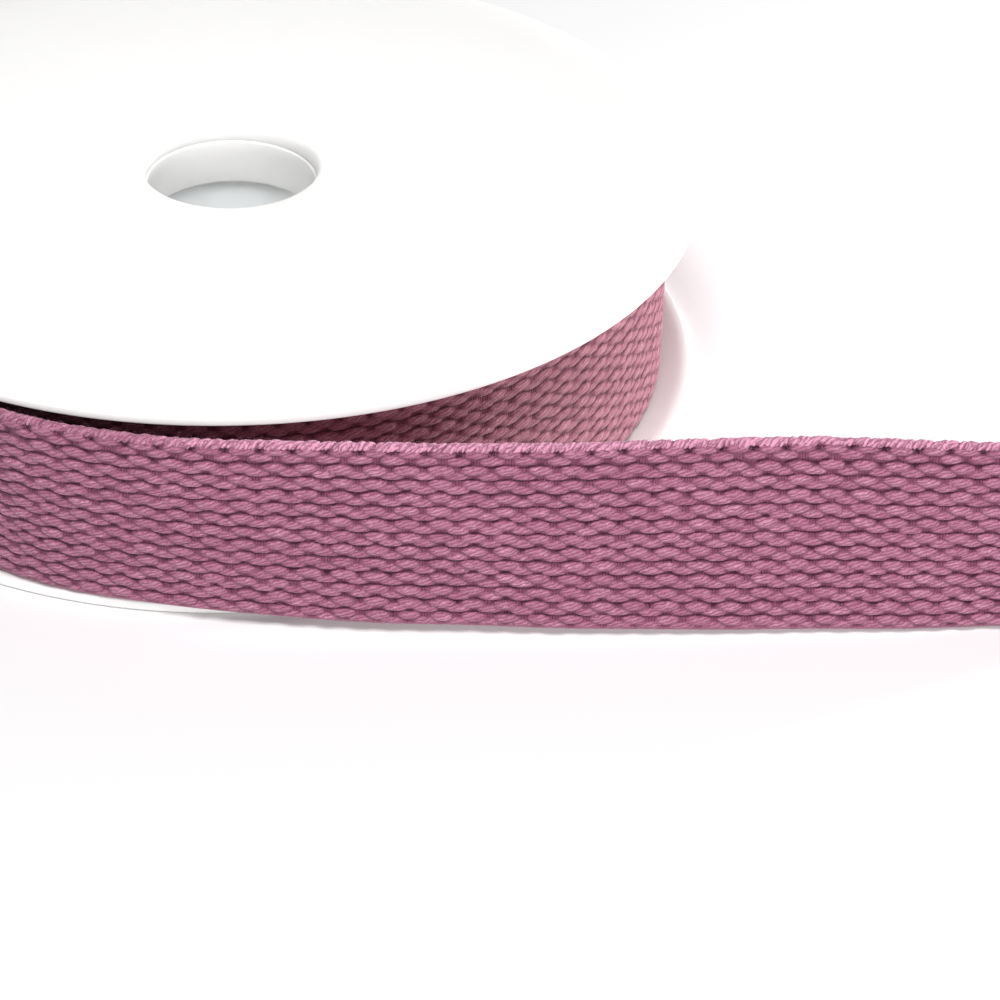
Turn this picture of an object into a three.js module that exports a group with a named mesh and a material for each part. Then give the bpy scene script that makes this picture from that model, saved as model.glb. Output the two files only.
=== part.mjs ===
// A roll of cotton webbing on a white plastic reel, lying flat on its side.
// Two thin flanges plug into a hollow core tube, the webbing is wound between them,
// and its loose end stands on edge in front of the reel and runs off to the right.
// Millimetres, +Z up. The reel's axis is along Z.

import * as THREE from 'three';

// Reel
const flangeRadius = 98.5;
const flangeThickness = 2;
const rimRounding = 0.9;
const reelHeight = 45.1;
const holeRadius = 17.9;
const lipRounding = 1.2;

// Collar that each flange plugs into the core tube
const collarInnerRadius = 17.6;
const collarOuterRadius = 18.8;
const collarLedgeDepth = 3.6;
const collarEndDepth = 13.5;

// Core tube
const coreInnerRadius = 19.1;
const coreOuterRadius = 21.6;

// Webbing, and the smallest radius of its outer turn
const webbingWidth = 40.5;
const webbingThickness = 2.4;
const selvedgeRounding = 0.9;
const outerTurnRadius = 91.3;

// Room left between pieces that lie against each other
const clearance = 0.3;

// Where the loose end begins to leave the outer turn, seen from above
const leavingAngle = THREE.MathUtils.degToRad(-150);

// The loose end, stretch by stretch from the roll to its cut end.
// Lean is how far its top edge stands out in front of its bottom edge.
const looseStretches = [
  { length: 45, bendRadius: 114, leanAtEnd: 4.3 },
  { length: 45, bendRadius: 93, leanAtEnd: 4 },
  { length: 50, bendRadius: 297, leanAtEnd: 0 },
  { length: 75, bendRadius: 1030, leanAtEnd: -5 },
  { length: 65, bendRadius: 1030, leanAtEnd: 0 },
];
const looseLength = looseStretches.reduce((sum, stretch) => sum + stretch.length, 0);

// How far along the loose end it has passed the flange's rim.
// From there its bottom edge slopes straight down to the table at the cut end.
const pastRim = 105;

// Fineness of the faceted shapes
const roundSegments = 112;
const arcDivisions = 2;
const spiralSegments = 144;
const looseStep = 5;
const selvedgeSegments = 3;

const reelPlastic = new THREE.MeshStandardMaterial({ color: 0xf1f0ee, roughness: 0.35, metalness: 0 });
const tubePlastic = new THREE.MeshStandardMaterial({ color: 0xdfe0e3, roughness: 0.5, metalness: 0 });
const woundCotton = new THREE.MeshStandardMaterial({ color: 0xa8617f, roughness: 0.95, metalness: 0 });
const looseCotton = new THREE.MeshStandardMaterial({ color: 0xb56f92, roughness: 0.95, metalness: 0 });

const floorOfWinding = flangeThickness + clearance;

// Turns a closed outline of radius and height about the Z axis.
function turned(outline, segments) {
  const points = outline.getPoints(arcDivisions);
  points[points.length - 1].copy(points[0]);
  const geometry = new THREE.LatheGeometry(points, segments);
  geometry.rotateX(Math.PI / 2);
  return geometry;
}

// A flange with its face at height 0 and its collar pointing up.
function flangeGeometry() {
  const rimCentre = flangeRadius - rimRounding;
  const lipCentre = holeRadius + lipRounding;
  const outline = new THREE.Path();
  outline.moveTo(lipCentre, 0);
  outline.lineTo(rimCentre, 0);
  outline.absarc(rimCentre, rimRounding, rimRounding, -Math.PI / 2, 0, false);
  outline.absarc(rimCentre, flangeThickness - rimRounding, rimRounding, 0, Math.PI / 2, false);
  outline.lineTo(collarOuterRadius, flangeThickness);
  outline.lineTo(collarOuterRadius, collarEndDepth);
  outline.lineTo(collarInnerRadius, collarEndDepth);
  outline.lineTo(collarInnerRadius, collarLedgeDepth);
  outline.lineTo(holeRadius, collarLedgeDepth);
  outline.absarc(lipCentre, lipRounding, lipRounding, Math.PI, 1.5 * Math.PI, false);
  return turned(outline, roundSegments);
}

// The tube between the flanges, slipped over both collars.
function coreTubeGeometry() {
  const bottom = floorOfWinding;
  const top = reelHeight - floorOfWinding;
  const outline = new THREE.Path();
  outline.moveTo(coreInnerRadius, bottom);
  outline.lineTo(coreOuterRadius, bottom);
  outline.lineTo(coreOuterRadius, top);
  outline.lineTo(coreInnerRadius, top);
  outline.lineTo(coreInnerRadius, bottom);
  return turned(outline, roundSegments);
}

// The wound webbing: an annulus whose outside grows by one thickness in a full turn,
// with a step where the loose end leaves it.
function woundWebbingGeometry() {
  const outline = new THREE.Shape();
  for (let i = 0; i <= spiralSegments; i += 1) {
    const share = i / spiralSegments;
    const angle = leavingAngle + share * 2 * Math.PI;
    const radius = outerTurnRadius + share * webbingThickness;
    const x = radius * Math.cos(angle);
    const y = radius * Math.sin(angle);
    if (i === 0) outline.moveTo(x, y);
    else outline.lineTo(x, y);
  }
  outline.closePath();

  const bore = new THREE.Path();
  bore.absarc(0, 0, coreOuterRadius + clearance, 0, 2 * Math.PI, true);
  outline.holes.push(bore);

  return new THREE.ExtrudeGeometry(outline, {
    depth: webbingWidth,
    bevelEnabled: false,
    curveSegments: roundSegments / 2,
  });
}

// Eases from 0 to 1 with no kink at either end.
function eased(share) {
  return share * share * (3 - 2 * share);
}

// Walks along the loose end and notes its place, outward direction, lean and lift every few millimetres.
function looseStations() {
  const middleRadius = outerTurnRadius + clearance + webbingThickness / 2;
  const startAngle = leavingAngle + clearance / middleRadius;
  const place = new THREE.Vector2(middleRadius, 0).rotateAround(new THREE.Vector2(), startAngle);
  let heading = startAngle + Math.PI / 2;
  let travelled = 0;
  let leanBefore = 0;

  const stationHere = (lean) => {
    const lowered = Math.max(0, travelled - pastRim) / (looseLength - pastRim);
    return {
      place: place.clone(),
      outward: new THREE.Vector2(Math.sin(heading), -Math.cos(heading)),
      lean,
      lift: floorOfWinding * (1 - lowered),
    };
  };

  const stations = [stationHere(leanBefore)];
  for (const stretch of looseStretches) {
    const steps = Math.round(stretch.length / looseStep);
    const turn = looseStep / stretch.bendRadius;
    for (let i = 1; i <= steps; i += 1) {
      heading += turn / 2;
      place.x += looseStep * Math.cos(heading);
      place.y += looseStep * Math.sin(heading);
      heading += turn / 2;
      travelled += looseStep;
      stations.push(stationHere(THREE.MathUtils.lerp(leanBefore, stretch.leanAtEnd, eased(i / steps))));
    }
    leanBefore = stretch.leanAtEnd;
  }
  return stations;
}

// The webbing's cross-section with rounded selvedges, as points of distance outward and height.
function webbingSection() {
  const outside = webbingThickness / 2 - selvedgeRounding;
  const corners = [
    { x: outside, y: selvedgeRounding, from: -Math.PI / 2 },
    { x: outside, y: webbingWidth - selvedgeRounding, from: 0 },
    { x: -outside, y: webbingWidth - selvedgeRounding, from: Math.PI / 2 },
    { x: -outside, y: selvedgeRounding, from: Math.PI },
  ];
  const section = [];
  for (const corner of corners) {
    for (let i = 0; i <= selvedgeSegments; i += 1) {
      const angle = corner.from + (i / selvedgeSegments) * (Math.PI / 2);
      section.push(new THREE.Vector2(
        corner.x + selvedgeRounding * Math.cos(angle),
        corner.y + selvedgeRounding * Math.sin(angle),
      ));
    }
  }
  return section;
}

// The loose end: the section carried from station to station, and a plain cut at both ends.
function looseEndGeometry() {
  const section = webbingSection();
  const stations = looseStations();
  const ring = section.length;
  const positions = [];
  const indices = [];

  for (const station of stations) {
    const upright = Math.sqrt(1 - (station.lean / webbingWidth) ** 2);
    for (const point of section) {
      const out = point.x + (station.lean * point.y) / webbingWidth;
      positions.push(
        station.place.x + station.outward.x * out,
        station.place.y + station.outward.y * out,
        station.lift + point.y * upright,
      );
    }
  }

  for (let s = 0; s < stations.length - 1; s += 1) {
    for (let i = 0; i < ring; i += 1) {
      const here = s * ring + i;
      const beside = s * ring + ((i + 1) % ring);
      indices.push(here, here + ring, beside);
      indices.push(beside, here + ring, beside + ring);
    }
  }

  const lastRing = (stations.length - 1) * ring;
  for (let i = 1; i < ring - 1; i += 1) {
    indices.push(0, i, i + 1);
    indices.push(lastRing, lastRing + i + 1, lastRing + i);
  }

  const geometry = new THREE.BufferGeometry();
  geometry.setAttribute('position', new THREE.Float32BufferAttribute(positions, 3));
  geometry.setIndex(indices);
  geometry.computeVertexNormals();
  return geometry;
}

function named(name, geometry, material) {
  const mesh = new THREE.Mesh(geometry, material);
  mesh.name = name;
  return mesh;
}

const roll = new THREE.Group();

const flangeBottom = named('flange_bottom', flangeGeometry(), reelPlastic);
roll.add(flangeBottom);

const flangeTop = named('flange_top', flangeGeometry(), reelPlastic);
flangeTop.rotation.x = Math.PI;
flangeTop.position.z = reelHeight;
roll.add(flangeTop);

roll.add(named('core_tube', coreTubeGeometry(), tubePlastic));

const woundWebbing = named('wound_webbing', woundWebbingGeometry(), woundCotton);
woundWebbing.position.z = floorOfWinding;
roll.add(woundWebbing);

roll.add(named('loose_end', looseEndGeometry(), looseCotton));

// The origin is the bottom centre of the whole, on the table.
roll.updateMatrixWorld(true);
const whole = new THREE.Box3().setFromObject(roll);
const middle = whole.getCenter(new THREE.Vector3());
roll.position.set(-middle.x, -middle.y, -whole.min.z);

export default roll;
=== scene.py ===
import math
import bpy
import numpy as np
from mathutils import Matrix, Vector


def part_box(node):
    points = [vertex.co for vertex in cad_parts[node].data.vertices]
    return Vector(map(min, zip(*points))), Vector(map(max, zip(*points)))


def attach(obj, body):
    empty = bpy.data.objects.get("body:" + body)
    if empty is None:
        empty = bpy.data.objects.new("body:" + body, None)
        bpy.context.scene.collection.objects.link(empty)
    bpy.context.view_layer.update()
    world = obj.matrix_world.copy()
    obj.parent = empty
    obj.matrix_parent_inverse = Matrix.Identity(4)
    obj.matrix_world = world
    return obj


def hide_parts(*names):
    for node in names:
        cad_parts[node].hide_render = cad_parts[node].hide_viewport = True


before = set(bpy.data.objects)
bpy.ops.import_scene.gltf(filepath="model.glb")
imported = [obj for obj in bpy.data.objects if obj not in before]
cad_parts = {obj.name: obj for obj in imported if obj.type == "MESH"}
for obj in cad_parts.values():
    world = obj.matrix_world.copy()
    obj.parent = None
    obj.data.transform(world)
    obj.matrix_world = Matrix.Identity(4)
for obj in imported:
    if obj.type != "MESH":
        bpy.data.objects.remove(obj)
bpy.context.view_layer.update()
mm = 0.001


# Places that every piece shares, read from the frame
flangeLow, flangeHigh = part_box("flange_top")
reel = {
    "axisX": (flangeLow[0] + flangeHigh[0]) / 2,
    "axisY": (flangeLow[1] + flangeHigh[1]) / 2,
    "height": flangeHigh[2],
    "radius": (flangeHigh[0] - flangeLow[0]) / 2,
    "flange": 2.0 * mm,           # thickness of each flange
    "rimRounding": 0.9 * mm,      # outer edge of the rim
    "rimThick": 2.3 * mm,         # the rim is a little thicker than the flange
    "rimInside": 0.4 * mm,        # rounding of its inner edge
    "rimWidth": 2.4 * mm,
    "rimStep": 0.8 * mm,          # it runs out into the flange over this width
    "hole": 17.9 * mm,            # radius of the hole in a flange
    "lipRounding": 1.2 * mm,
    "collarInside": 17.6 * mm,    # collar that plugs into the core tube
    "collarOutside": 18.8 * mm,
    "ledge": 3.6 * mm,            # how deep the collar starts below the face
    "lipShort": 0.2 * mm,         # the lip ends this far above the ledge
    "collarEnd": 13.5 * mm,
    "collarEdge": 0.4 * mm,       # softened corners of the collar
    "tubeInside": 19.1 * mm,
    "tubeOutside": 21.6 * mm,
    "tubeEdge": 0.2 * mm,
    "seat": 0.3 * mm,             # room between pieces that touch
    "sides": 256,
}

webbing = {
    "width": 40.5 * mm,
    "thickness": 2.4 * mm,
    "outerTurn": 91.3 * mm,       # radius outside, just past the step
    "leaving": math.radians(-150),
    "pastRim": 105 * mm,          # the bottom edge slopes down to the table from here on
    "edgeRadius": 1.2 * mm,
    "edgeBulge": 0.1 * mm,        # how far the rounded edge stands past the ground weave
    "wrapLevel": 0.8 * mm,        # from the middle of the webbing to the middle of a twisted wrap
    "sway": 0.1 * mm,             # the loose end isn't perfectly smooth
    "swayLengths": (9 * mm, 5.3 * mm),
}

# The loose end from the roll to its cut end: length, bend radius, and how far the top edge leans out
looseStretches = [
    (45 * mm, 114 * mm, 4.3 * mm),
    (45 * mm, 93 * mm, 4.0 * mm),
    (50 * mm, 297 * mm, 0.0),
    (75 * mm, 1030 * mm, -5.0 * mm),
    (65 * mm, 1030 * mm, 0.0),
]

weave = {
    "repeat": 6.12 * mm,          # a float and the gap behind it
    "start": 0.85 * mm,           # where the first float of the upper rows is centred
    "pairPitch": 2.985 * mm,      # rows come in pairs, an upper and a lower one
    "pairSpread": 1.33 * mm,
    "firstRow": 2.62 * mm,
    "pairs": 12,
    "topRows": (37.40 * mm, 38.85 * mm),
    "upper": {"length": 4.9 * mm, "width": 1.95 * mm, "height": 0.62 * mm, "leansOn": -1},
    "lower": {"length": 4.7 * mm, "width": 1.66 * mm, "height": 0.56 * mm, "leansOn": 1},
    "leaning": 1.3,               # the side that leans on the other row of the pair is wider
    "gapLevel": 0.13 * mm,        # weft that shows in the gaps
    "seamAbove": 0.06 * mm,       # the deep line between two pairs lies a little above the middle
    "seamWave": 0.24 * mm,        # and winds up and down
    "seamUneven": 0.6,            # how much wider it is where it borders a gap
    "seamSteep": 4,
    "notch": {                    # triangular dents between the floats of the last row, darkened with painted shade
        "bottom": 37.9 * mm,
        "top": 39.7 * mm,
        "half": 1.15 * mm,
        "soft": 0.25 * mm,
        "deep": 0.3 * mm,
    },
    "groundLevel": 0.66 * mm,     # from the middle of the webbing down in the gaps
    "tilt": 0.035,                # floats rise a little to the right
    "bow": 0.12,                  # and their ends are a little askew
    "endShape": 2.6,              # 2 would be an ellipse, more is squarer
    "sideShape": 2.4,
    # rows slip a little past each other along the webbing
    "drift": {"wave": 0.16 * mm, "length": 37 * mm, "turn": 0.6, "perRow": 0.03 * mm},
    "uneven": {                   # how much single floats differ
        "shift": 0.15 * mm,
        "length": 0.05,
        "width": 0.05,
        "height": 0.1,
        "tilt": 0.02,
        "rise": 0.08 * mm,
    },
    "seed": 7,
}


def linkPiece(name, mesh, material):
    piece = bpy.data.objects.new(name, mesh)
    bpy.context.scene.collection.objects.link(piece)
    mesh.materials.append(material)
    return piece


# A smooth mesh from its points, the corners of all its faces in turn, and where each face starts
def smoothMesh(name, points, loops, starts, attributes):
    mesh = bpy.data.meshes.new(name)
    mesh.vertices.add(points.size // 3)
    mesh.vertices.foreach_set("co", points.astype(np.float32).ravel())
    mesh.loops.add(len(loops))
    mesh.loops.foreach_set("vertex_index", loops.astype(np.int32))
    mesh.polygons.add(len(starts))
    mesh.polygons.foreach_set("loop_start", starts.astype(np.int32))
    mesh.polygons.foreach_set("use_smooth", np.ones(len(starts), bool))
    for key, values in attributes.items():
        layer = mesh.attributes.new(key, "FLOAT", "POINT")
        layer.data.foreach_set("value", values.astype(np.float32).ravel())
    mesh.update(calc_edges=True)
    mesh.validate()
    return mesh


# A mesh from a grid of points: rows run along, columns run all the way round
def gridMesh(name, points, closeRows=False, capEnds=False, attributes=None):
    rows, columns = points.shape[:2]
    i = np.arange(rows if closeRows else rows - 1)[:, None]
    j = np.arange(columns)[None, :]
    nextRow = (i + 1) % rows
    nextColumn = (j + 1) % columns
    quads = np.stack([
        i * columns + j,
        nextRow * columns + j,
        nextRow * columns + nextColumn,
        i * columns + nextColumn,
    ], axis=-1).reshape(-1, 4)
    loops = [quads.ravel()]
    starts = [np.arange(len(quads)) * 4]
    if capEnds:
        first = np.arange(columns)
        last = (rows - 1) * columns + np.arange(columns)[::-1]
        loops += [first, last]
        starts.append(np.array([len(quads) * 4, len(quads) * 4 + columns]))
    loops = np.concatenate(loops)
    starts = np.concatenate(starts)
    return smoothMesh(name, points, loops, starts, attributes or {})


# Node helpers
def startMaterial(name):
    material = bpy.data.materials.new(name)
    material.use_nodes = True
    tree = material.node_tree
    tree.nodes.clear()
    output = tree.nodes.new("ShaderNodeOutputMaterial")
    shader = tree.nodes.new("ShaderNodeBsdfPrincipled")
    tree.links.new(shader.outputs["BSDF"], output.inputs["Surface"])
    return material, tree, shader


def mathNode(tree, operation, a, b=None, c=None, clamp=False):
    node = tree.nodes.new("ShaderNodeMath")
    node.operation = operation
    node.use_clamp = clamp
    for socket, value in zip(node.inputs, (a, b, c)):
        if value is None:
            continue
        if isinstance(value, (int, float)):
            socket.default_value = value
        else:
            tree.links.new(value, socket)
    return node.outputs[0]


def readAttribute(tree, name):
    node = tree.nodes.new("ShaderNodeAttribute")
    node.attribute_name = name
    return node.outputs["Fac"]


def mixColour(tree, share, a, b, blend="MIX"):
    node = tree.nodes.new("ShaderNodeMix")
    node.data_type = "RGBA"
    node.blend_type = blend
    sockets = {"share": node.inputs[0], "a": node.inputs[6], "b": node.inputs[7]}
    for key, value in (("share", share), ("a", a), ("b", b)):
        if isinstance(value, (int, float, tuple)):
            sockets[key].default_value = value
        else:
            tree.links.new(value, sockets[key])
    return node.outputs[2]


def colourRamp(tree, factor, stops):
    node = tree.nodes.new("ShaderNodeValToRGB")
    while len(node.color_ramp.elements) < len(stops):
        node.color_ramp.elements.new(0.5)
    for element, (place, colour) in zip(node.color_ramp.elements, stops):
        element.position = place
        element.color = colour
    tree.links.new(factor, node.inputs["Fac"])
    return node.outputs["Color"]


def noiseTexture(tree, scale, detail=2.0, vector=None, roughness=0.5):
    node = tree.nodes.new("ShaderNodeTexNoise")
    node.inputs["Scale"].default_value = scale
    node.inputs["Detail"].default_value = detail
    node.inputs["Roughness"].default_value = roughness
    if vector is None:
        coords = tree.nodes.new("ShaderNodeTexCoord")
        vector = coords.outputs["Object"]
    tree.links.new(vector, node.inputs["Vector"])
    return node.outputs["Fac"]


def bumpNode(tree, height, distance, normal=None):
    node = tree.nodes.new("ShaderNodeBump")
    node.inputs["Strength"].default_value = 1.0
    node.inputs["Distance"].default_value = distance
    tree.links.new(height, node.inputs["Height"])
    if normal is not None:
        tree.links.new(normal, node.inputs["Normal"])
    return node.outputs["Normal"]


def hexColour(code):
    channels = [int(code[k:k + 2], 16) / 255 for k in (1, 3, 5)]
    linear = [c / 12.92 if c <= 0.04045 else ((c + 0.055) / 1.055) ** 2.4 for c in channels]
    return (*linear, 1.0)


cotton = {
    "gap": "#34111f",             # painted shade down between the floats
    "shade": "#743e56",
    "body": "#9a5d76",
    "crest": "#b37d93",           # lighter tops of the floats: painted highlight
    "pale": "#d395af",            # painted highlight on the twisted edge and the stray fibres
    "pliesPitch": 0.74 * mm,      # plies of one warp yarn
    "pliesSlope": math.radians(20),
    "pliesWander": 1.5,
    "pliesApart": 20.0,           # each float starts its plies somewhere else
    "pliesShape": 0.6,            # below 1 the plies are broad and the grooves narrow
    "pliesBump": 0.15 * mm,
    "weftPitch": 0.54 * mm,
    "weftWander": 1.5,
    "weftShape": 0.8,
    "weftBump": 0.1 * mm,
    "floatEdge": (3.2, -0.75),    # how sharply a float is told from the gap beside it
    "wanderScale": 0.9,
    "wornScale": 0.6,
    "noiseApart": 30,             # each float has its own noise
    "fibreBump": 0.05 * mm,
    "fibreStretch": (1.3, 6.5, 1.0),
    # painted shade along the deep line between two pairs of rows: its width and depth
    "seamWidth": 0.3,
    "seamShade": 0.85,
    "seamBroken": 4.0,            # how much the wear noise breaks up the painted shade of the deep line
    "seamPressed": 0.4,           # and how much pressing closes it
    "shadeAndTone": {                # what makes a spot lighter, from gap to pale: height, plies, floats and weft paint shade in the hollows and highlights on the tops, while tone, fibres and wear vary it at random
        "everywhere": 0.12,
        "crest": 0.3,
        "ply": 0.36,
        "float": 0.1,
        "weft": 0.22,
        "tone": 0.06,
        "fibres": 0.8,
        "worn": 0.35,
    },
    "roughness": 0.9,
    "roughnessSpread": 0.1,
    "specular": 0.15,
    "sheen": 0.4,
    "sheenRoughness": 0.4,
    "sheenTint": "#f3dde4",
    "woundWarmShade": (1.03, 1.08, 0.9, 1.0),  # painted warm shade where the cloth is wound
}


# Threads side by side: 1 along the top of each, 0 in the grooves
def threadWave(tree, phase, shape):
    return mathNode(tree, "POWER", mathNode(tree, "ABSOLUTE", mathNode(tree, "SINE", phase)), shape)


# Pressed cloth has less relief and softer painted shade in its deep lines
def makeCotton(name, pressed):
    material, tree, shader = startMaterial(name)
    along = readAttribute(tree, "along")
    girth = readAttribute(tree, "girth")
    crest = readAttribute(tree, "crest")
    tone = readAttribute(tree, "tone")
    seam = readAttribute(tree, "seam")
    slope = cotton["pliesSlope"]
    onPly = mathNode(tree, "MULTIPLY_ADD", girth, math.sin(slope),
                     mathNode(tree, "MULTIPLY", along, math.cos(slope)))
    acrossPly = mathNode(tree, "MULTIPLY_ADD", girth, math.cos(slope),
                         mathNode(tree, "MULTIPLY", along, -math.sin(slope)))
    place = tree.nodes.new("ShaderNodeCombineXYZ")
    tree.links.new(mathNode(tree, "MULTIPLY", onPly, 1 / mm), place.inputs[0])
    tree.links.new(mathNode(tree, "MULTIPLY", acrossPly, 1 / mm), place.inputs[1])
    tree.links.new(mathNode(tree, "MULTIPLY", tone, cotton["noiseApart"]), place.inputs[2])
    # plies of the yarn, rising to the right along each float, with painted shade in the grooves between
    # them
    wander = noiseTexture(tree, cotton["wanderScale"], 2.0, place.outputs[0])
    phase = mathNode(tree, "MULTIPLY", acrossPly, math.pi / cotton["pliesPitch"])
    phase = mathNode(tree, "MULTIPLY_ADD", wander, cotton["pliesWander"] * math.pi, phase)
    phase = mathNode(tree, "MULTIPLY_ADD", tone, cotton["pliesApart"], phase)
    ply = threadWave(tree, phase, cotton["pliesShape"])
    # weft threads standing side by side at the bottom of the gaps, with painted shade between them
    weftPhase = mathNode(tree, "MULTIPLY_ADD", along, math.pi / cotton["weftPitch"],
                         mathNode(tree, "MULTIPLY", wander, cotton["weftWander"]))
    weft = threadWave(tree, weftPhase, cotton["weftShape"])
    onFloat = mathNode(tree, "MULTIPLY_ADD", crest, *cotton["floatEdge"], clamp=True)
    inGap = mathNode(tree, "SUBTRACT", 1.0, onFloat)
    plyShown = mathNode(tree, "MULTIPLY", ply, onFloat)
    weftShown = mathNode(tree, "MULTIPLY", weft, inGap)
    # single fibres lie along the plies
    stretched = tree.nodes.new("ShaderNodeVectorMath")
    stretched.operation = "MULTIPLY"
    stretched.inputs[1].default_value = cotton["fibreStretch"]
    tree.links.new(place.outputs[0], stretched.inputs[0])
    fibres = noiseTexture(tree, 1.0, 3.0, stretched.outputs[0], 0.6)
    worn = noiseTexture(tree, cotton["wornScale"], 2.0, place.outputs[0])
    # painted shade along the deep line between two pairs of rows
    offMiddle = mathNode(tree, "SUBTRACT", worn, 0.5)
    closed = cotton["seamPressed"] * pressed
    broken = mathNode(tree, "MULTIPLY_ADD", offMiddle, cotton["seamBroken"], closed)
    fromSeam = mathNode(tree, "ABSOLUTE", seam)
    offSeam = mathNode(tree, "MULTIPLY_ADD", fromSeam, 1 / cotton["seamWidth"], broken, clamp=True)
    offSeam = mathNode(tree, "MAXIMUM", offSeam, onFloat)
    shares = cotton["shadeAndTone"]
    # painted shade and highlights from the relief, with random tone on top
    lit = mathNode(tree, "MULTIPLY_ADD", crest, shares["crest"], shares["everywhere"])
    for signal, share in ((plyShown, "ply"), (onFloat, "float"), (weftShown, "weft")):
        lit = mathNode(tree, "MULTIPLY_ADD", signal, shares[share], lit)
    for signal, share in ((tone, "tone"), (fibres, "fibres"), (worn, "worn")):
        lit = mathNode(tree, "MULTIPLY_ADD", mathNode(tree, "SUBTRACT", signal, 0.5), shares[share], lit)
    # the deep line is darkened with painted shade
    deep = cotton["seamShade"]
    lit = mathNode(tree, "MULTIPLY", lit, mathNode(tree, "MULTIPLY_ADD", offSeam, deep, 1 - deep))
    # the ramp runs from painted shade in the gaps to painted highlights on the tops and the twisted edge
    colour = colourRamp(tree, lit, [
        (0.0, hexColour(cotton["gap"])),
        (0.32, hexColour(cotton["shade"])),
        (0.68, hexColour(cotton["body"])),
        (0.94, hexColour(cotton["crest"])),
        (1.0, hexColour(cotton["pale"])),
    ])
    # painted warm shade on the wound cloth
    warmShaded = mixColour(tree, readAttribute(tree, "wound"), colour,
                       mixColour(tree, 1.0, colour, cotton["woundWarmShade"], "MULTIPLY"))
    tree.links.new(warmShaded, shader.inputs["Base Color"])
    normal = bumpNode(tree, plyShown, cotton["pliesBump"] * (1 - pressed))
    normal = bumpNode(tree, weftShown, cotton["weftBump"] * (1 - pressed), normal=normal)
    normal = bumpNode(tree, fibres, cotton["fibreBump"], normal=normal)
    tree.links.new(normal, shader.inputs["Normal"])
    spread = cotton["roughnessSpread"]
    roughness = mathNode(tree, "MULTIPLY_ADD", fibres, spread, cotton["roughness"] - spread / 2)
    tree.links.new(roughness, shader.inputs["Roughness"])
    shader.inputs["Specular IOR Level"].default_value = cotton["specular"]
    shader.inputs["Sheen Weight"].default_value = cotton["sheen"]
    shader.inputs["Sheen Roughness"].default_value = cotton["sheenRoughness"]
    shader.inputs["Sheen Tint"].default_value = hexColour(cotton["sheenTint"])
    return material


plastic = {
    "white": "#f8f7f5",
    "tube": "#f8fbfc",
    "darker": 0.965,              # clouds in the white
    "cloudScale": 60.0,
    "grainScale": 1800.0,
    "roughness": 0.32,
    "tubeRoughness": 0.47,
    "roughnessSpread": 0.12,
    "flowBump": 0.02 * mm,
    "grainBump": 0.004 * mm,
    "throughLight": 0.4,          # light that spreads inside the thin plastic
    "spread": 3.0 * mm,
}


def makePlastic(name, colour, roughness):
    material, tree, shader = startMaterial(name)
    cloud = noiseTexture(tree, plastic["cloudScale"], 3.0)
    grain = noiseTexture(tree, plastic["grainScale"], 2.0)
    darker = tuple(channel * plastic["darker"] for channel in hexColour(colour)[:3]) + (1.0,)
    tree.links.new(mixColour(tree, cloud, hexColour(colour), darker), shader.inputs["Base Color"])
    spread = plastic["roughnessSpread"]
    uneven = mathNode(tree, "MULTIPLY_ADD", cloud, spread, roughness - spread / 2)
    tree.links.new(uneven, shader.inputs["Roughness"])
    waves = bumpNode(tree, cloud, plastic["flowBump"])
    tree.links.new(bumpNode(tree, grain, plastic["grainBump"], normal=waves), shader.inputs["Normal"])
    shader.inputs["Subsurface Weight"].default_value = plastic["throughLight"]
    shader.inputs["Subsurface Radius"].default_value = (1.0, 1.0, 1.0)
    shader.inputs["Subsurface Scale"].default_value = plastic["spread"]
    return material


print("materials")
cottonMaterial = makeCotton("dusty_pink_cotton", 0.05)
woundMaterial = makeCotton("wound_cotton", 0.4)
whitePlastic = makePlastic("white_plastic", plastic["white"], plastic["roughness"])
tubePlastic = makePlastic("tube_plastic", plastic["tube"], plastic["tubeRoughness"])


# Round pieces of the reel

def arcPoints(centreR, centreZ, radius, start, end, steps):
    angles = np.linspace(start, end, steps + 1)
    return [(centreR + radius * math.cos(a), centreZ + radius * math.sin(a)) for a in angles]


def straightPoints(a, b, steps):
    return [(a[0] + (b[0] - a[0]) * k / steps, a[1] + (b[1] - a[1]) * k / steps) for k in range(1, steps)]


def turnedPiece(name, profile, material, upsideDown=False):
    profile = np.array(profile)
    heights = reel["height"] - profile[:, 1] if upsideDown else profile[:, 1]
    angles = np.linspace(0, 2 * math.pi, reel["sides"], endpoint=False)
    if upsideDown:
        angles = angles[::-1]
    points = np.empty((len(angles), len(profile), 3))
    points[..., 0] = reel["axisX"] + np.cos(angles)[:, None] * profile[:, 0]
    points[..., 1] = reel["axisY"] + np.sin(angles)[:, None] * profile[:, 0]
    points[..., 2] = heights
    return linkPiece(name, gridMesh(name, points, closeRows=True), material)


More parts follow.
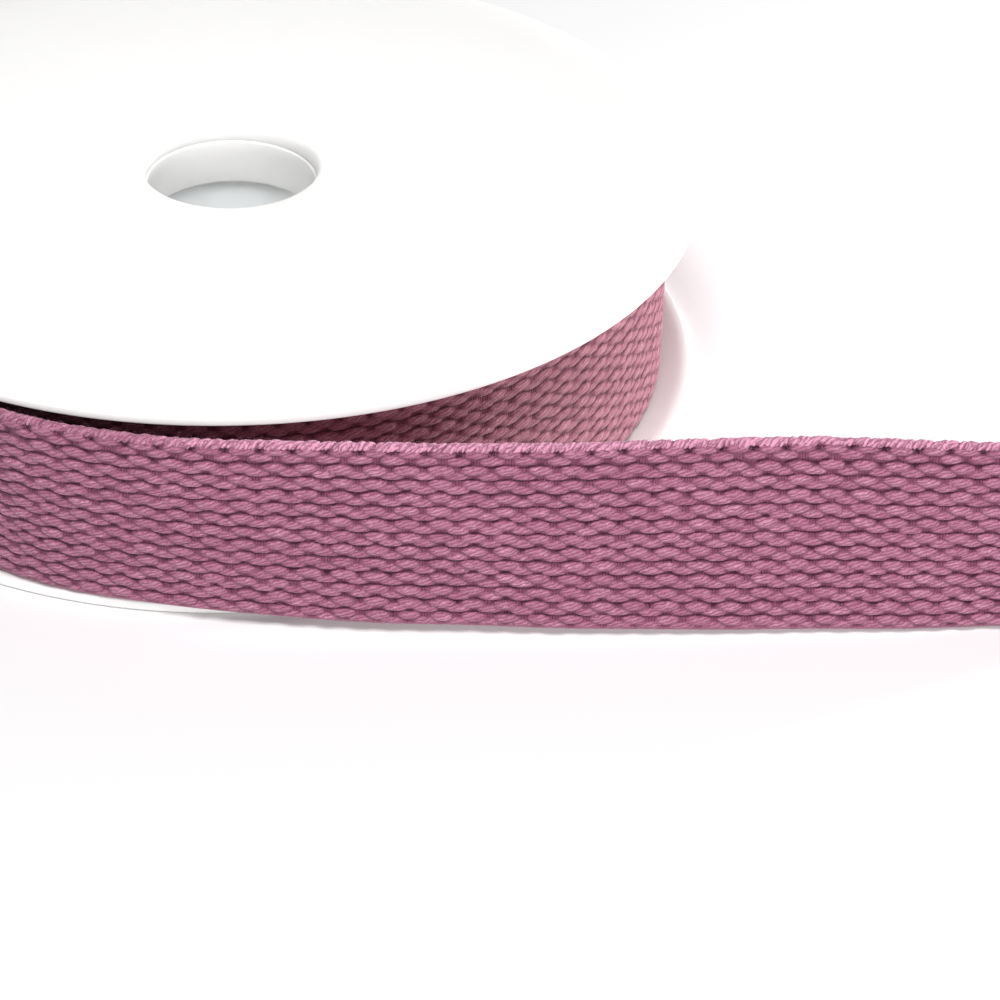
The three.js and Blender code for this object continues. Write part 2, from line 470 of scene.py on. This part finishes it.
# A flange with its outer face at height 0 and its collar pointing up
def flangeProfile():
    rim = reel["rimRounding"]
    lip = reel["lipRounding"]
    rimCentre = reel["radius"] - rim
    lipCentre = reel["hole"] + lip
    thick = reel["flange"]
    edge = reel["collarEdge"]
    inner, outer = reel["collarInside"], reel["collarOutside"]
    low, high = reel["ledge"] + edge, reel["collarEnd"] - edge
    profile = []
    profile += straightPoints((lipCentre, 0), (rimCentre, 0), 10)
    profile += arcPoints(rimCentre, rim, rim, -math.pi / 2, 0, 6)
    inside = reel["rimInside"]
    profile += arcPoints(reel["radius"] - inside, reel["rimThick"] - inside, inside, 0, math.pi / 2, 5)
    profile += [(reel["radius"] - reel["rimWidth"], reel["rimThick"])]
    stepEnd = (reel["radius"] - reel["rimWidth"] - reel["rimStep"], thick)
    profile += [stepEnd] + straightPoints(stepEnd, (outer, thick), 10)
    profile += [(outer + edge, thick), (outer, thick + edge), (outer, high)]
    profile += arcPoints(outer - edge, high, edge, 0, math.pi / 2, 3)
    profile += arcPoints(inner + edge, high, edge, math.pi / 2, math.pi, 3)
    profile += straightPoints((inner, high), (inner, low), 4)
    profile += arcPoints(inner + edge, low, edge, math.pi, 1.5 * math.pi, 3)
    deep = reel["ledge"] - reel["lipShort"]
    for k in range(11):           # the lip curves in slowly
        turn = math.pi / 2 * k / 10
        profile.append((lipCentre - lip * math.cos(turn), deep - deep * math.sin(turn)))
    return profile


def tubeProfile():
    low = reel["flange"] + reel["seat"]
    high = reel["height"] - low
    edge = reel["tubeEdge"]
    inside, outside = reel["tubeInside"], reel["tubeOutside"]
    profile = [(inside + edge, low), (outside - edge, low), (outside, low + edge)]
    profile += straightPoints((outside, low + edge), (outside, high - edge), 6)
    profile += [(outside, high - edge), (outside - edge, high)]
    profile += [(inside + edge, high), (inside, high - edge)]
    profile += straightPoints((inside, high - edge), (inside, low + edge), 6)
    profile += [(inside, low + edge)]
    return profile


def flattenSharpEdges(piece, degrees):
    bpy.context.view_layer.objects.active = piece
    piece.select_set(True)
    bpy.ops.object.shade_smooth_by_angle(angle=math.radians(degrees))
    piece.select_set(False)


print("reel")
lowerFlange = turnedPiece("lower_flange", flangeProfile(), whitePlastic)
upperFlange = turnedPiece("upper_flange", flangeProfile(), whitePlastic, upsideDown=True)
coreTube = turnedPiece("core_sleeve", tubeProfile(), tubePlastic)
for piece, node in ((lowerFlange, "flange_bottom"), (upperFlange, "flange_top"), (coreTube, "core_tube")):
    flattenSharpEdges(piece, 50)
    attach(piece, "root")
    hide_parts(node)


# Weave relief

draws = np.random.default_rng(weave["seed"])
weaveRows = []
for k in range(weave["pairs"]):
    centre = weave["firstRow"] + k * weave["pairPitch"]
    weaveRows.append((centre - weave["pairSpread"], 0.5, "lower"))
    weaveRows.append((centre, 0.0, "upper"))
weaveRows.append((weave["topRows"][0], 0.59, "lower"))
weaveRows.append((weave["topRows"][1], 0.09, "lower"))
floatsPerRow = 160
floatDraws = {key: np.clip(draws.normal(size=(2, len(weaveRows), floatsPerRow)), -2.2, 2.2) * amount
              for key, amount in weave["uneven"].items()}
floatTones = draws.random(size=(2, len(weaveRows), floatsPerRow))


# How far a row's floats have drifted along the webbing
def rowDrift(along, row):
    drift = weave["drift"]
    wave = drift["wave"] * np.sin(along / drift["length"] + row * drift["turn"])
    return wave - weave["start"] + drift["perRow"] * row


# For places along and across: height above the ground weave, tone of the float that shows,
# and a wave that is zero on the deep line between two pairs of rows, where the material paints shade
def weaveRelief(along, across, side):
    repeat = weave["repeat"]
    pitch = weave["pairPitch"]
    lineStart = weave["firstRow"] - (pitch + weave["pairSpread"]) / 2
    pair = np.clip(np.round((across - lineStart) / pitch), 0, weave["pairs"])
    drift = rowDrift(along[:, None], 2 * pair[None, :])
    snaking = np.cos(2 * math.pi * ((along[:, None] + drift) / repeat - 0.5 * side))
    line = lineStart + weave["seamAbove"] + weave["seamWave"] * snaking
    seam = np.sin(math.pi * (across[None, :] - line) / pitch)
    high = weave["gapLevel"] * np.clip(np.abs(seam) * weave["seamSteep"], 0, 1)
    seam *= 1 - weave["seamUneven"] * snaking * np.sign(seam)   # wider towards the gaps
    tone = np.full(high.shape, 0.5)
    for r, (centre, phase, kind) in enumerate(weaveRows):
        size = weave[kind]
        near = np.flatnonzero(np.abs(across - centre) < size["width"])
        if not len(near):
            continue
        phase += 0.5 * side
        drift = rowDrift(along, r)
        number = np.round((along + drift) / repeat - phase).astype(int)
        pick = number % floatsPerRow
        drawn = {key: table[side, r, pick] for key, table in floatDraws.items()}
        middle = (number + phase) * repeat - drift + drawn["shift"]
        u = (along - middle) / (size["length"] / 2 * (1 + drawn["length"]))
        lane = centre + drawn["rise"] + (weave["tilt"] + drawn["tilt"]) * (along - middle)
        halfWidth = size["width"] / 2 * (1 + drawn["width"])
        w = (across[near][None, :] - lane[:, None]) / halfWidth[:, None]
        w = np.where(w * size["leansOn"] > 0, w / weave["leaning"], w)
        endwise = np.abs(u[:, None] + weave["bow"] * w) ** weave["endShape"]
        body = 1 - endwise - np.abs(w) ** weave["sideShape"]
        bump = size["height"] * (1 + drawn["height"][:, None]) * np.sqrt(np.clip(body, 0, 1))
        taller = bump > high[:, near]
        high[:, near] = np.where(taller, bump, high[:, near])
        tone[:, near] = np.where(taller, floatTones[side, r, pick][:, None], tone[:, near])
    # dents between the floats of the last row, under the twisted edge, darkened with painted shade
    notch = weave["notch"]
    turn = (along + rowDrift(along, len(weaveRows) - 1)) / repeat - weaveRows[-1][1] - 0.5 * side
    fromGap = np.abs(turn - np.floor(turn) - 0.5) * repeat
    half = notch["half"] * np.clip((notch["top"] - across) / (notch["top"] - notch["bottom"]), 0, 1)
    half = np.where(across > notch["bottom"], half, 0)
    inside = np.clip((half[None, :] - fromGap[:, None]) / notch["soft"], 0, 1)
    inside *= high < 2 * weave["gapLevel"]
    return high - notch["deep"] * inside, tone, seam * (1 - inside)


# One ring of the webbing's section, from the foot of the front face over the top and down the back.
# A back that is plain lies near the middle of the webbing, where nothing shows it.
def sectionRing(frontCount, edgeCount, backCount, backLevel):
    edge = webbing["edgeRadius"]
    width = webbing["width"]
    front = np.linspace(edge, width - edge, frontCount)
    bend = np.linspace(0, math.pi, edgeCount + 2)[1:-1]
    back = np.linspace(width - edge, edge, backCount)
    cosine, sine = np.cos(bend), np.sin(bend)
    roundness = weave["groundLevel"] + webbing["edgeBulge"]
    top = frontCount + edgeCount
    bottom = top + backCount

    def allRound(*parts):         # the front, over the top, the back and the foot
        return np.concatenate(parts)

    return {
        "out": allRound(np.full(frontCount, weave["groundLevel"]), roundness * cosine,
                        np.full(backCount, -backLevel), -roundness * cosine),
        "up": allRound(front, width - edge + edge * sine, back, edge - edge * sine),
        "normalOut": allRound(np.ones(frontCount), cosine, -np.ones(backCount), -cosine),
        "normalUp": allRound(np.zeros(frontCount), sine, np.zeros(backCount), -sine),
        "girth": allRound(front, width - edge + edge * bend, back, edge * (bend - math.pi) + edge),
        "front": slice(0, frontCount),
        "top": slice(frontCount, top),
        "back": slice(top, bottom),
        "bottom": slice(bottom, bottom + edgeCount),
    }


# Puts a ring on a path: its places, outward directions, lean angles and lift
def sweep(ring, high, places, outward, lean, lift):
    out = ring["out"][None, :] + ring["normalOut"][None, :] * high
    up = ring["up"][None, :] + ring["normalUp"][None, :] * high
    return standOnPath(out, up, places[:, None], outward[:, None], lean[:, None], lift[:, None])


def standOnPath(out, up, places, outward, lean, lift):
    sideways = out * np.cos(lean) + up * np.sin(lean)
    points = np.empty((*out.shape, 3))
    points[..., 0] = places[..., 0] + outward[..., 0] * sideways
    points[..., 1] = places[..., 1] + outward[..., 1] * sideways
    points[..., 2] = lift + up * np.cos(lean) - out * np.sin(lean)
    return points


def ringAttributes(ring, along, high, tone, seam):
    # crest sets the painted shade in the hollows and the painted highlight on the tops
    crest = np.clip(high / weave["upper"]["height"], 0, 1.1)
    for part in ("top", "bottom"):
        crest[:, ring[part]] = 0.5    # no floats on the rounded edges
    return {
        "along": np.repeat(along[:, None], len(ring["out"]), 1),
        "girth": np.repeat(ring["girth"][None, :], len(along), 0),
        "crest": crest,
        "tone": tone,
        "seam": seam,
    }


# Plan path of the loose end: how far along, x, y, heading and lean every millimetre
def tracePath():
    middleRadius = webbing["outerTurn"] + reel["seat"] + webbing["thickness"] / 2
    angle = webbing["leaving"] + reel["seat"] / middleRadius
    x = reel["axisX"] + middleRadius * math.cos(angle)
    y = reel["axisY"] + middleRadius * math.sin(angle)
    heading = angle + math.pi / 2
    fine = 1 * mm
    travelled, leanBefore = 0.0, 0.0
    rows = [(travelled, x, y, heading, leanBefore)]
    for length, bendRadius, leanAtEnd in looseStretches:
        steps = round(length / fine)
        for k in range(1, steps + 1):
            heading += fine / bendRadius / 2
            x += fine * math.cos(heading)
            y += fine * math.sin(heading)
            heading += fine / bendRadius / 2
            travelled += fine
            share = k / steps
            eased = share * share * (3 - 2 * share)
            rows.append((travelled, x, y, heading, leanBefore + (leanAtEnd - leanBefore) * eased))
        leanBefore = leanAtEnd
    return np.array(rows)


pathRows = tracePath()
looseLength = pathRows[-1, 0]


# Everything needed to stand something on the loose end at the given places along it
def looseFrame(along):
    x, y, heading, lean = [np.interp(along, pathRows[:, 0], pathRows[:, c]) for c in range(1, 5)]
    outward = np.stack([np.sin(heading), -np.cos(heading)], axis=-1)
    longWave, shortWave = webbing["swayLengths"]
    sway = webbing["sway"] * (np.sin(along / longWave) + np.sin(along / shortWave + 1))
    places = np.stack([x, y], axis=-1) + outward * sway[..., None]
    floor = reel["flange"] + reel["seat"]
    lift = floor * (1 - np.maximum(0, along - webbing["pastRim"]) / (looseLength - webbing["pastRim"]))
    return places, outward, np.arcsin(lean / webbing["width"]), lift


looseEnd = {
    "frontColumns": 150,          # points up the front face
    "topColumns": 5,              # and round each edge
    "backColumns": 84,
    "frontStations": 600,         # places along it
    "backStations": 460,
    "backInside": -0.05 * mm,     # the back's own inner side, just behind the middle of the webbing
}


# Side 0 is the front, side 1 the back
def makeLooseFace(name, ring, side, stations):
    along = np.linspace(0, looseLength, stations)
    high = np.zeros((stations, len(ring["out"])))
    tone = np.full(high.shape, 0.5)
    seam = np.ones(high.shape)
    face = ring["back" if side else "front"]
    high[:, face], tone[:, face], seam[:, face] = weaveRelief(along, ring["up"][face], side)
    points = sweep(ring, high, *looseFrame(along))
    points[..., 2] = np.maximum(points[..., 2], 0.0)
    attributes = ringAttributes(ring, along, high, tone, seam)
    mesh = gridMesh(name, points, capEnds=True, attributes=attributes)
    return linkPiece(name, mesh, cottonMaterial)


# The back face is a thin plate of its own behind the front one
def backRing(count):
    edge = webbing["edgeRadius"]
    inside = looseEnd["backInside"]
    up = np.linspace(webbing["width"] - edge, edge, count)
    return {
        "out": np.concatenate([np.full(count, -weave["groundLevel"]), [inside, inside]]),
        "up": np.concatenate([up, [edge, webbing["width"] - edge]]),
        "normalOut": np.concatenate([-np.ones(count), [0, 0]]),
        "normalUp": np.zeros(count + 2),
        "girth": np.concatenate([up, [edge, webbing["width"] - edge]]),
        "front": slice(0, 0),
        "top": slice(0, 0),
        "back": slice(0, count),
        "bottom": slice(0, 0),
    }


outerFace = {
    "fineFrom": math.radians(-135),
    "fineTo": math.radians(35),
    "fineStep": 0.6 * mm,
    "coarseStep": 1.1 * mm,
    "stepsBehind": 290,
    "frontColumns": 120,          # points up its face
    "topColumns": 3,
    "freeOver": 70 * mm,          # the last stretch is as free as the loose end
    "flatter": 0.2,               # the winding presses the rest a little flatter
    "backLevel": 0.3 * mm,
}


# The outer turn is finer where it faces the front
def makeOuterTurn():
    middleRadius = webbing["outerTurn"] + webbing["thickness"] / 2
    around = 2 * math.pi
    facing = np.arange(outerFace["fineFrom"], outerFace["fineTo"], outerFace["fineStep"] / middleRadius)
    before = np.arange(webbing["leaving"], facing[0], outerFace["coarseStep"] / middleRadius)
    joint = 1.5 * reel["seat"] / middleRadius     # it runs on into the start of the loose end
    after = np.linspace(facing[-1], webbing["leaving"] + around + joint, outerFace["stepsBehind"])[1:]
    angles = np.concatenate([before, facing, after])
    share = (angles - webbing["leaving"]) / around
    middle = webbing["outerTurn"] + share * webbing["thickness"] - webbing["thickness"] / 2
    along = (share - 1) * around * middleRadius - reel["seat"]
    wound = np.clip(-along / outerFace["freeOver"], 0, 1)
    wound = wound * wound * (3 - 2 * wound)
    middle += reel["seat"] * (1 - wound)
    ring = sectionRing(outerFace["frontColumns"], outerFace["topColumns"], 2, outerFace["backLevel"])
    high = np.zeros((len(along), len(ring["out"])))
    tone = np.full(high.shape, 0.5)
    seam = np.ones(high.shape)
    face = ring["front"]
    high[:, face], tone[:, face], seam[:, face] = weaveRelief(along, ring["up"][face], 0)
    crests = high.copy()
    high *= 1 - outerFace["flatter"] * wound[:, None]
    outward = np.stack([np.cos(angles), np.sin(angles)], axis=1)
    places = np.array([[reel["axisX"], reel["axisY"]]]) + outward * middle[:, None]
    lift = np.full(len(along), reel["flange"] + reel["seat"])
    points = sweep(ring, high, places, outward, np.zeros(len(along)), lift)
    attributes = ringAttributes(ring, along, crests, tone, seam)
    # how far it is wound also sets the painted warm shade
    attributes["wound"] = np.repeat(wound[:, None], len(ring["out"]), 1)
    mesh = gridMesh("outer_turn_weave", points, capEnds=True, attributes=attributes)
    return linkPiece("outer_turn_weave", mesh, woundMaterial)


winding = {
    "turns": 29,
    "sides": 180,
    "dip": 0.9 * mm,              # how deep the groove between two turns is
    "ridgeShape": 0.7,
    "below": 0.75,                # thicknesses between the last ridge and the outside of the outer turn
    "crest": (0.2, 0.6),          # painted shade: lightness in a groove, and the painted highlight its ridge adds
}


# All the turns under the outer one, as ridges on both ends of the winding
def makeInnerTurns():
    sides = winding["sides"]
    share = np.linspace(0, 1, sides, endpoint=False)
    angles = webbing["leaving"] + share * 2 * math.pi
    thick = webbing["thickness"]
    inside = reel["tubeOutside"] + reel["seat"]
    outside = webbing["outerTurn"] - thick * winding["below"] + share * thick
    steps = np.linspace(0, 1, winding["turns"] * 4 + 1)
    radii = inside + (outside[:, None] - inside) * steps[None, :]
    wave = np.abs(np.sin(math.pi * (radii - inside - share[:, None] * thick) / thick))
    low = reel["flange"] + reel["seat"]
    high = low + webbing["width"]
    dip = winding["dip"] * (1 - wave ** winding["ridgeShape"])
    ringRadii = np.concatenate([radii, radii[:, ::-1]], axis=1)
    ringHeights = np.concatenate([low + dip, (high - dip)[:, ::-1]], axis=1)
    points = np.empty((sides, ringRadii.shape[1], 3))
    points[..., 0] = reel["axisX"] + np.cos(angles)[:, None] * ringRadii
    points[..., 1] = reel["axisY"] + np.sin(angles)[:, None] * ringRadii
    points[..., 2] = ringHeights
    # painted shade in the grooves between the turns and painted highlight on their ridges
    inGroove, onRidge = winding["crest"]
    crest = inGroove + onRidge * np.concatenate([wave, wave[:, ::-1]], axis=1)
    attributes = {
        "along": angles[:, None] * ringRadii,
        "girth": ringRadii,
        "crest": crest,
        "tone": np.full(ringRadii.shape, 0.5),
        "seam": np.ones(ringRadii.shape),
        "wound": np.ones(ringRadii.shape),
    }
    mesh = gridMesh("inner_turns", points, closeRows=True, attributes=attributes)
    return linkPiece("inner_turns", mesh, woundMaterial)


selvedge = {
    "pitch": 0.86 * mm,           # twisted wraps over the upper edge
    "first": 0.5 * mm,            # from the start of the loose end to the first wrap
    "spare": 1.6 * mm,            # length with no wrap, both ends together
    "pitchUneven": 0.12 * mm,
    "advance": (0.35, 0.7),       # how far a wrap runs on for each millimetre round the edge
    "startAboveGap": 39.6 * mm,
    "startAboveFloat": 38.95 * mm,
    "startUneven": 0.13 * mm,
    "reach": 4.2 * mm,            # length of a wrap round the edge
    "wide": 0.56 * mm,            # half sizes of its section
    "thick": 0.31 * mm,
    "uneven": 0.16,               # spread of their widths
    "blunt": 0.04,                # how thick the ends stay
    "fullness": 0.45,             # lower keeps a wrap thick for more of its length
    "lift": (-0.09 * mm, 0.14 * mm),
    "paintedLight": (0.95, 1.5),      # painted shade near the roll, under the upper flange, and painted highlight where it stands free
    "paintedLightOver": (80 * mm, 115 * mm),
    "sway": 0.16 * mm,
    "sides": 7,
    "steps": 11,
    "seed": 21,
}


# For a distance up the front and over the top: distance out, height, and the way off the cloth
def overTheEdge(girth):
    level = webbing["wrapLevel"]
    edge = webbing["edgeRadius"]
    flat = webbing["width"] - edge
    bend = np.clip((girth - flat) / edge, 0, math.pi)
    past = np.maximum(girth - flat - edge * math.pi, 0)
    out = np.where(bend < math.pi, level * np.cos(bend), -level)
    up = np.minimum(girth, flat) + edge * np.sin(bend) - past
    normalOut, normalUp = np.cos(bend), np.sin(bend)
    return out, up, normalOut, normalUp


def makeSelvedgeWraps():
    luck = np.random.default_rng(selvedge["seed"])
    count = int((looseLength - selvedge["spare"]) / selvedge["pitch"])
    steps, sides = selvedge["steps"], selvedge["sides"]
    firsts = selvedge["first"] + np.arange(count) * selvedge["pitch"]
    firsts = firsts + luck.normal(size=count) * selvedge["pitchUneven"]
    t = np.linspace(0, 1, steps)
    turn = np.linspace(0, 2 * math.pi, sides, endpoint=False)
    overGap = 0.5 - 0.5 * np.cos(2 * math.pi * (firsts - weave["start"]) / weave["repeat"])
    start = selvedge["startAboveFloat"]
    start = start + (selvedge["startAboveGap"] - selvedge["startAboveFloat"]) * overGap
    start = start + luck.normal(size=count) * selvedge["startUneven"]
    girth = start[:, None] + t[None, :] * selvedge["reach"]
    blunt = selvedge["blunt"]
    fat = np.sin(math.pi * (t * (1 - 2 * blunt) + blunt)) ** selvedge["fullness"]
    swell = (1 + selvedge["uneven"] * luck.normal(size=count).clip(-2, 2))[:, None] * fat[None, :]
    lift = luck.uniform(*selvedge["lift"], count)[:, None, None]
    advance = luck.uniform(*selvedge["advance"], count)[:, None]
    along = firsts[:, None] + (girth - start[:, None]) * advance
    along += selvedge["sway"] * np.sin(2 * math.pi * (t[None, :] + luck.random(count)[:, None]))
    wide = selvedge["wide"] * swell[..., None] * np.cos(turn)
    thick = selvedge["thick"] * swell[..., None] * np.sin(turn)
    alongAll = np.clip(along[..., None] + wide, 0, looseLength)
    girthAll = girth[..., None] - wide * advance[..., None]
    out, up, normalOut, normalUp = overTheEdge(girthAll)
    thick = thick + lift * fat[None, :, None]
    out, up = out + normalOut * thick, up + normalUp * thick
    places, outward, lean, lift = looseFrame(alongAll)
    points = standOnPath(out, up, places, outward, lean, lift)
    tones = np.repeat(luck.random(count), steps * sides)
    # painted light on the twisted edge: shade near the roll, highlight where it stands free
    pale = np.interp(firsts, selvedge["paintedLightOver"], selvedge["paintedLight"])
    return joinedRods("selvedge_wraps", points, {
        "along": (girthAll + alongAll * 0.4).ravel(),
        "girth": (wide + thick + firsts[:, None, None] * 3).ravel(),
        "crest": np.repeat(pale, steps * sides),
        "tone": tones,
        "seam": np.ones(tones.size),
    })


# Many closed rods in one mesh: points are by rod, step and side
def joinedRods(name, points, attributes):
    rods, steps, sides = points.shape[:3]
    rod = np.arange(rods)[:, None, None] * steps * sides
    i = np.arange(steps - 1)[None, :, None]
    j = np.arange(sides)[None, None, :]
    beside = (j + 1) % sides
    quads = np.stack([
        rod + i * sides + j,
        rod + i * sides + beside,
        rod + (i + 1) * sides + beside,
        rod + (i + 1) * sides + j,
    ], axis=-1).reshape(-1, 4)
    first = rod[:, 0] + np.arange(sides)[::-1]
    last = rod[:, 0] + (steps - 1) * sides + np.arange(sides)
    loops = np.concatenate([quads.ravel(), first.ravel(), last.ravel()])
    starts = np.concatenate([np.arange(len(quads)) * 4, quads.size + np.arange(2 * rods) * sides])
    return linkPiece(name, smoothMesh(name, points, loops, starts, attributes), cottonMaterial)


fuzz = {
    "edge": {"hairs": 1500, "root": 0.4 * mm, "length": 0.9 * mm, "rise": (0.25, 1.0)},
    "face": {"hairs": 2600, "root": 0.45 * mm, "length": 0.72 * mm, "rise": (0.0, 0.3)},
    "fromEnds": 2 * mm,
    "aboveFoot": 1.5 * mm,
    "belowTop": 2 * mm,
    "roundEdge": (-0.2, 1.0),     # where on the rounded edge, from its front to its back
    "uneven": 0.45,               # spread of their lengths
    "curl": 1.2,
    "droop": 0.4,                 # hairs bend back towards the cloth
    "reachAlong": 0.7,
    "reachUp": 0.5,
    # painted highlight on the stray fibres
    "paintedLight": 1.2,
    "radius": 0.014 * mm,
    "thinner": 0.7,               # towards the tip
    "steps": 4,
    "seed": 5,
}


# Stray fibres that stand off the upper edge and the front face
def makeFuzz():
    luck = np.random.default_rng(fuzz["seed"])
    onTop, onFace = fuzz["edge"], fuzz["face"]
    total = onTop["hairs"] + onFace["hairs"]
    edge, width = webbing["edgeRadius"], webbing["width"]
    onEdge = np.arange(total) < onTop["hairs"]
    along = luck.uniform(fuzz["fromEnds"], looseLength - fuzz["fromEnds"], total)
    topGirth = width - edge + luck.uniform(*fuzz["roundEdge"], total) * edge * math.pi
    faceGirth = luck.uniform(fuzz["aboveFoot"], width - fuzz["belowTop"], total)
    girth = np.where(onEdge, topGirth, faceGirth)
    root = np.where(onEdge, onTop["root"], onFace["root"])
    long = luck.lognormal(0, fuzz["uneven"], total) * np.where(onEdge, onTop["length"], onFace["length"])
    topRise = luck.uniform(*onTop["rise"], total)
    rise = np.where(onEdge, topRise, luck.uniform(*onFace["rise"], total))
    headingAlong = luck.uniform(-1, 1, total)
    headingUp = luck.uniform(-1, 1, total)
    curl = luck.uniform(-fuzz["curl"], fuzz["curl"], total)
    t = np.linspace(0, 1, fuzz["steps"])[None, :]
    reach = long[:, None] * t
    off = root[:, None] + rise[:, None] * reach * (1 - fuzz["droop"] * t)
    goesAlong = (headingAlong[:, None] + curl[:, None] * t) * reach * fuzz["reachAlong"]
    goesUp = (headingUp[:, None] - curl[:, None] * t) * reach * fuzz["reachUp"]
    alongHere, girthHere = along[:, None] + goesAlong, girth[:, None] + goesUp
    out, up, normalOut, normalUp = overTheEdge(girthHere)
    out, up = out + normalOut * off, up + normalUp * off
    places, outward, lean, lift = looseFrame(alongHere)
    centre = standOnPath(out, up, places, outward, lean, lift)
    slim = fuzz["radius"] * (1 - fuzz["thinner"] * t)
    # three corners of a hair, tilted so that it has width from any side
    corner = np.array([[0, 1, 0.6], [0.87, -0.5, -0.6], [-0.87, -0.5, 0.6]])
    points = centre[:, :, None, :] + slim[..., None, None] * corner[None, None]
    size = points[..., 0].size
    each = size // total
    return joinedRods("stray_fibres", points, {
        "along": np.repeat(along, each),
        "girth": np.repeat(girth, each),
        "crest": np.full(size, fuzz["paintedLight"]),
        "tone": np.repeat(luck.random(total), each),
        "seam": np.ones(size),
    })


print("webbing")
innerTurns = makeInnerTurns()
outerTurn = makeOuterTurn()
frontRing = sectionRing(looseEnd["frontColumns"], looseEnd["topColumns"], 2, 0.0)
looseFront = makeLooseFace("loose_end_front", frontRing, 0, looseEnd["frontStations"])
backOnly = backRing(looseEnd["backColumns"])
looseBack = makeLooseFace("loose_end_back", backOnly, 1, looseEnd["backStations"])
wraps = makeSelvedgeWraps()
strays = makeFuzz()
standsFor = (
    (innerTurns, "wound_webbing"),
    (outerTurn, "wound_webbing"),
    (looseFront, "loose_end"),
    (looseBack, "loose_end"),
    (wraps, "loose_end"),
    (strays, "loose_end"),
)
for piece, node in standsFor:
    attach(piece, "root")
    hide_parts(node)


# Camera, floor and light

view = {
    "focal": 3199.4,              # in pixels of a 1000 pixel frame
    "pitch": math.radians(33.81),
    "roll": math.radians(1.64),
    "place": Vector((58.4, -595.5, 361.3)) * mm,
}


def setCamera():
    forward = Vector((0, math.cos(view["pitch"]), -math.sin(view["pitch"])))
    right = Vector((1, 0, 0))
    up = right.cross(forward)
    turnedRight = right * math.cos(view["roll"]) + up * math.sin(view["roll"])
    turnedUp = up * math.cos(view["roll"]) - right * math.sin(view["roll"])
    camera = bpy.data.objects.new("camera", bpy.data.cameras.new("camera"))
    bpy.context.scene.collection.objects.link(camera)
    axes = Matrix((turnedRight, turnedUp, -forward)).transposed().to_4x4()
    place = view["place"] + Vector((reel["axisX"], reel["axisY"], 0))
    camera.matrix_world = Matrix.Translation(place) @ axes
    camera.data.sensor_width = 36
    camera.data.lens = view["focal"] / 1000 * 36
    camera.data.clip_start = 0.01
    camera.data.clip_end = 50
    bpy.context.scene.camera = camera


studio = {
    "floorSize": 6.0,
    "floorColour": "#f2f2f2",
    "floorRoughness": 0.8,
    "floorSpecular": 0.2,
    "sky": 0.32,
    "lamps": {
        "overhead": {"place": (0.04, -0.45, 1.0), "target": (0, -0.05, 0), "size": 0.4, "watts": 8.9},
        "front": {"place": (0.47, -1.05, 0.2), "target": (0.04, -0.1, 0), "size": 0.36, "watts": 5.2},
        "right": {"place": (0.7, 0.28, 0.09), "target": (0.03, 0, 0.03), "size": 0.16, "watts": 7.3},
    },
    # two narrow lamps stand in for the light that the thin plastic lets into the hole
    "holeLamps": {
        "hole_right": {"place": (0.44, -0.5, 0.75), "watts": 12.5},
        "hole_left": {"place": (-0.5, -0.5, 0.75), "watts": 11.5},
    },
    "holeBeam": math.radians(7.5),
    "holeSoftEdge": 0.8,
    "holeLampSize": 0.08,
}


def setFloor():
    half = studio["floorSize"] / 2
    mesh = bpy.data.meshes.new("floor")
    corners = [(-half, -half, 0), (half, -half, 0), (half, half, 0), (-half, half, 0)]
    mesh.from_pydata(corners, [], [(0, 1, 2, 3)])
    material, tree, shader = startMaterial("pale_floor")
    shader.inputs["Base Color"].default_value = hexColour(studio["floorColour"])
    shader.inputs["Roughness"].default_value = studio["floorRoughness"]
    shader.inputs["Specular IOR Level"].default_value = studio["floorSpecular"]
    floor = linkPiece("floor", mesh, material)
    floor.location.z = -0.05 * mm             # clear of the reel's flat face


def addLamp(name, kind, lamp, target):
    data = bpy.data.lights.new(name, kind)
    data.energy = lamp["watts"]
    light = bpy.data.objects.new(name, data)
    bpy.context.scene.collection.objects.link(light)
    light.location = lamp["place"]
    aim = Vector(target) - Vector(lamp["place"])
    light.rotation_euler = aim.to_track_quat("-Z", "Y").to_euler()
    return data


def setLight():
    world = bpy.data.worlds.new("studio")
    bpy.context.scene.world = world
    world.use_nodes = True
    world.node_tree.nodes["Background"].inputs["Color"].default_value = (1, 1, 1, 1)
    world.node_tree.nodes["Background"].inputs["Strength"].default_value = studio["sky"]
    for name, lamp in studio["lamps"].items():
        data = addLamp(name, "AREA", lamp, lamp["target"])
        data.shape = "SQUARE"
        data.size = lamp["size"]
    for name, lamp in studio["holeLamps"].items():
        data = addLamp(name, "SPOT", lamp, (reel["axisX"], reel["axisY"], reel["height"]))
        data.spot_size = studio["holeBeam"]
        data.spot_blend = studio["holeSoftEdge"]
        data.shadow_soft_size = studio["holeLampSize"]


print("camera, floor and light")
setCamera()
setFloor()
setLight()
bpy.context.scene.view_settings.view_transform = "Standard"

print("done")
